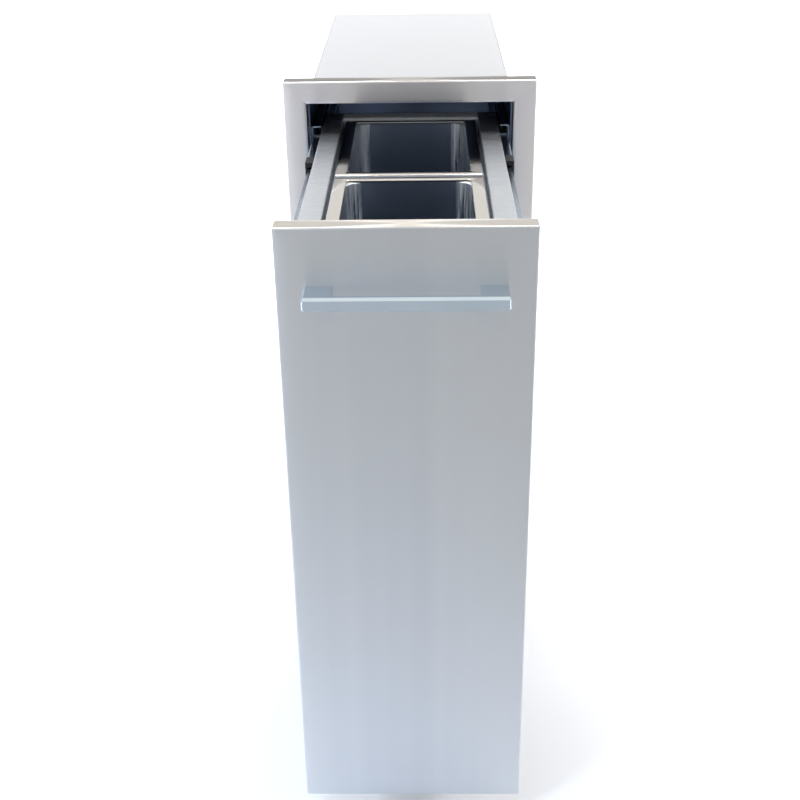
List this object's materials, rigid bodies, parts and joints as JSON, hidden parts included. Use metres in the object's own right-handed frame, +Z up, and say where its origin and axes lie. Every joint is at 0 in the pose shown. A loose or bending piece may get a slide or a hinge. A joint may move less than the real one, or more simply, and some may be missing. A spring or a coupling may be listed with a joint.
{
  "type": "pull-out trash drawer",
  "caption": "Tall narrow built-in drawer of brushed steel with a flat handle, a face frame and housing, and two lift-out waste bins on full-extension slides.",
  "frame": {"origin": "centre of the face frame's seat face at its bottom edge: X mid-width, Y the back plane of the frame, Z the frame's bottom edge", "axes": "X right as seen from the front, +Y into the cabinet, +Z up"},
  "size_m": [0.282, 0.9506, 0.686],
  "materials": {
    "front_steel": "horizontally brushed stainless sheet",
    "frame_steel": "horizontally brushed stainless sheet",
    "housing_steel": "mill-finish stainless sheet, satin",
    "ring_steel": "brushed stainless sheet",
    "handle_steel": "fine satin stainless bar",
    "zinc_steel": "zinc-plated steel slide",
    "bright_zinc": "bright ball cage and hardened balls",
    "fastener_steel": "plain stainless screws and rivets",
    "black_plastic": "black moulded plastic",
    "bin": "drawn stainless tub"
  },
  "bodies": {
    "housing": {"face_frame": "frame_steel", "housing_left": "housing_steel", "housing_right": "housing_steel", "housing_top": "housing_steel", "housing_floor": "housing_steel", "housing_back": "housing_steel", "slide_outer_left": "zinc_steel", "slide_outer_right": "zinc_steel", "slide_rivets_left": "fastener_steel", "slide_rivets_right": "fastener_steel"},
    "drawer": {"drawer_skin": "front_steel", "drawer_liner": "front_steel", "handle_grip": "handle_steel", "handle_leg_left": "handle_steel", "handle_leg_right": "handle_steel", "handle_screws": "fastener_steel", "rail_left": "ring_steel", "rail_right": "ring_steel", "rear_rail": "ring_steel", "front_rail": "ring_steel", "bin_bar": "ring_steel", "gusset_left": "ring_steel", "gusset_right": "ring_steel", "gusset_screws": "fastener_steel", "front_brace": "ring_steel", "slide_inner_left": "zinc_steel", "slide_inner_right": "zinc_steel", "rail_bolts_left": "fastener_steel", "rail_bolts_right": "fastener_steel", "lever_pin_left": "fastener_steel", "lever_pin_right": "fastener_steel"},
    "middle_left": {"slide_middle_left": "zinc_steel", "slide_stop_left": "black_plastic"},
    "middle_right": {"slide_middle_right": "zinc_steel", "slide_stop_right": "black_plastic"},
    "cage_outer_left": {"cage_outer_left": "bright_zinc"},
    "cage_outer_right": {"cage_outer_right": "bright_zinc"},
    "cage_inner_left": {"cage_inner_left": "bright_zinc"},
    "cage_inner_right": {"cage_inner_right": "bright_zinc"},
    "bin_front": {"bin_front": "bin"},
    "bin_rear": {"bin_rear": "bin"},
    "lever_left": {"release_lever_left": "black_plastic"},
    "lever_right": {"release_lever_right": "black_plastic"}
  },
  "joints": [
    {"name": "drawer_slide", "type": "slide", "parent": "housing", "child": "drawer", "axis": [0, -1, 0], "range_m": [-0.404, 0.078]},
    {"name": "middle_slide_left", "type": "slide", "parent": "housing", "child": "middle_left", "axis": [0, -1, 0], "range_m": [-0.202, 0.039]},
    {"name": "middle_slide_right", "type": "slide", "parent": "housing", "child": "middle_right", "axis": [0, -1, 0], "range_m": [-0.202, 0.039]},
    {"name": "cage_outer_left_slide", "type": "slide", "parent": "housing", "child": "cage_outer_left", "axis": [0, -1, 0], "range_m": [-0.101, 0.0195]},
    {"name": "cage_outer_right_slide", "type": "slide", "parent": "housing", "child": "cage_outer_right", "axis": [0, -1, 0], "range_m": [-0.101, 0.0195]},
    {"name": "cage_inner_left_slide", "type": "slide", "parent": "housing", "child": "cage_inner_left", "axis": [0, -1, 0], "range_m": [-0.303, 0.0585]},
    {"name": "cage_inner_right_slide", "type": "slide", "parent": "housing", "child": "cage_inner_right", "axis": [0, -1, 0], "range_m": [-0.303, 0.0585]},
    {"name": "bin_front_lift", "type": "slide", "parent": "drawer", "child": "bin_front", "axis": [0, 0, 1], "range_m": [0, 0.56]},
    {"name": "bin_rear_lift", "type": "slide", "parent": "drawer", "child": "bin_rear", "axis": [0, 0, 1], "range_m": [0, 0.03]},
    {"name": "lever_turn_left", "type": "hinge", "parent": "drawer", "child": "lever_left", "pos_m": [-0.1048, -0.152, 0.6042], "axis": [-1, 0, 0], "range_deg": [0, 8], "stiffness_Nm_per_rad": 0.02},
    {"name": "lever_turn_right", "type": "hinge", "parent": "drawer", "child": "lever_right", "pos_m": [0.1048, -0.152, 0.6042], "axis": [1, 0, 0], "range_deg": [0, 8], "stiffness_Nm_per_rad": 0.02}
  ],
  "couplings": [
    {"joint": "middle_slide_left", "follows": "drawer_slide", "ratio": 0.5},
    {"joint": "middle_slide_right", "follows": "drawer_slide", "ratio": 0.5},
    {"joint": "cage_outer_left_slide", "follows": "drawer_slide", "ratio": 0.25},
    {"joint": "cage_outer_right_slide", "follows": "drawer_slide", "ratio": 0.25},
    {"joint": "cage_inner_left_slide", "follows": "drawer_slide", "ratio": 0.75},
    {"joint": "cage_inner_right_slide", "follows": "drawer_slide", "ratio": 0.75}
  ]
}
